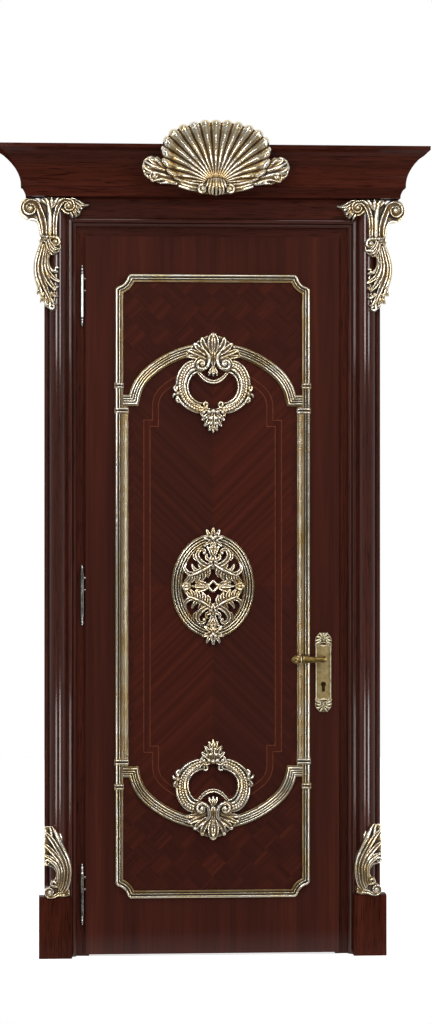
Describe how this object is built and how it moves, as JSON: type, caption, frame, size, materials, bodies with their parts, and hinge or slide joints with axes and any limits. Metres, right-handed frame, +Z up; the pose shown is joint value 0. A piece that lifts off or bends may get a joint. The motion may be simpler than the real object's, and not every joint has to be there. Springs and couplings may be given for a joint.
{
  "type": "carved interior door with frame",
  "caption": "Tall lacquered mahogany door leaf with gilt mouldings, wreaths and a medallion, hung in a frame with half-round pilasters, carved capitals and a shell cornice.",
  "frame": {"origin": "floor level, in the middle of the wall opening, in the plane of the wall's front face", "axes": "+Z up, +Y into the wall away from the carved front, +X towards the lock side"},
  "size_m": [1.428, 0.34, 2.7805],
  "materials": {
    "mahogany": "gloss lacquered mahogany with matched veneer",
    "mahogany_back": "satin lacquered mahogany",
    "gilt_carving": "carved wood in silver leaf with an amber patina",
    "light_inlay": "light wood stringing",
    "seal_rubber": "soft matt strip",
    "polished_hinge": "polished turned metal",
    "antique_brass": "cast, with dark patina in the recesses",
    "lock_brass": "plain machined",
    "lock_steel": "plain pressed steel"
  },
  "bodies": {
    "frame": {"hinge_jamb": "mahogany", "lock_jamb": "mahogany", "head_jamb": "mahogany", "rebate_seal": "seal_rubber", "strike_plate": "lock_steel", "strike_screws": "lock_steel", "bead_left": "mahogany", "bead_right": "mahogany", "bead_head": "mahogany", "pilaster_left": "mahogany", "pilaster_right": "mahogany", "frieze": "mahogany", "plinth_left": "mahogany", "plinth_right": "mahogany", "cornice_front": "mahogany", "cornice_left": "mahogany", "cornice_right": "mahogany", "cornice_soffit": "mahogany", "cornice_top": "mahogany_back", "shell_crest": "gilt_carving", "capital_left": "gilt_carving", "capital_right": "gilt_carving", "foot_leaf_left": "gilt_carving", "foot_leaf_right": "gilt_carving", "rear_casing_left": "mahogany_back", "rear_casing_right": "mahogany_back", "rear_casing_head": "mahogany_back", "hinge_frame_halves": "polished_hinge", "hinge_pins": "polished_hinge"},
    "leaf": {"leaf_slab": "mahogany", "inlay_lines": "light_inlay", "frame_top": "gilt_carving", "frame_bottom": "gilt_carving", "frame_left": "gilt_carving", "frame_right": "gilt_carving", "frame_corners": "gilt_carving", "strip_left": "gilt_carving", "strip_right": "gilt_carving", "arch_top": "gilt_carving", "arch_bottom": "gilt_carving", "ribbon_ties": "gilt_carving", "wreath_top": "gilt_carving", "wreath_bottom": "gilt_carving", "medallion_ring": "gilt_carving", "medallion_carving": "gilt_carving", "hinge_leaf_halves": "polished_hinge", "lock_case": "lock_steel", "lock_faceplate": "lock_brass", "lock_screws": "lock_steel", "lock_cylinder": "lock_brass", "plate_front": "antique_brass", "plate_rear": "antique_brass", "plate_screws": "antique_brass"},
    "handle": {"lever_front": "antique_brass", "lever_rear": "antique_brass", "spindle": "lock_steel"},
    "latch": {"latch_bolt": "lock_brass"},
    "dead": {"dead_bolt": "lock_brass"},
    "key_barrel": {"cylinder_plug": "lock_brass"}
  },
  "joints": [
    {"name": "leaf_swing", "type": "hinge", "parent": "frame", "child": "leaf", "pos_m": [-0.4365, -0.0095, 1.2], "axis": [0, 0, -1], "range_deg": [0, 100]},
    {"name": "lever_turn", "type": "hinge", "parent": "leaf", "child": "handle", "pos_m": [0.372, 0.008, 0.992], "axis": [0, -1, 0], "range_deg": [0, 38], "stiffness_Nm_per_rad": 1.2, "springref_deg": -28.65},
    {"name": "latch_slide", "type": "slide", "parent": "leaf", "child": "latch", "axis": [-1, 0, 0], "range_m": [0, 0.012]},
    {"name": "key_turn", "type": "hinge", "parent": "leaf", "child": "key_barrel", "pos_m": [0.372, 0.008, 0.907], "axis": [0, 1, 0], "range_deg": [0, 360]},
    {"name": "bolt_slide", "type": "slide", "parent": "leaf", "child": "dead", "axis": [1, 0, 0], "range_m": [0, 0.02]}
  ],
  "couplings": [
    {"joint": "latch_slide", "follows": "lever_turn", "m_per_rad": 0.01805},
    {"joint": "key_turn", "follows": "bolt_slide", "rad_per_m": 314.16}
  ]
}
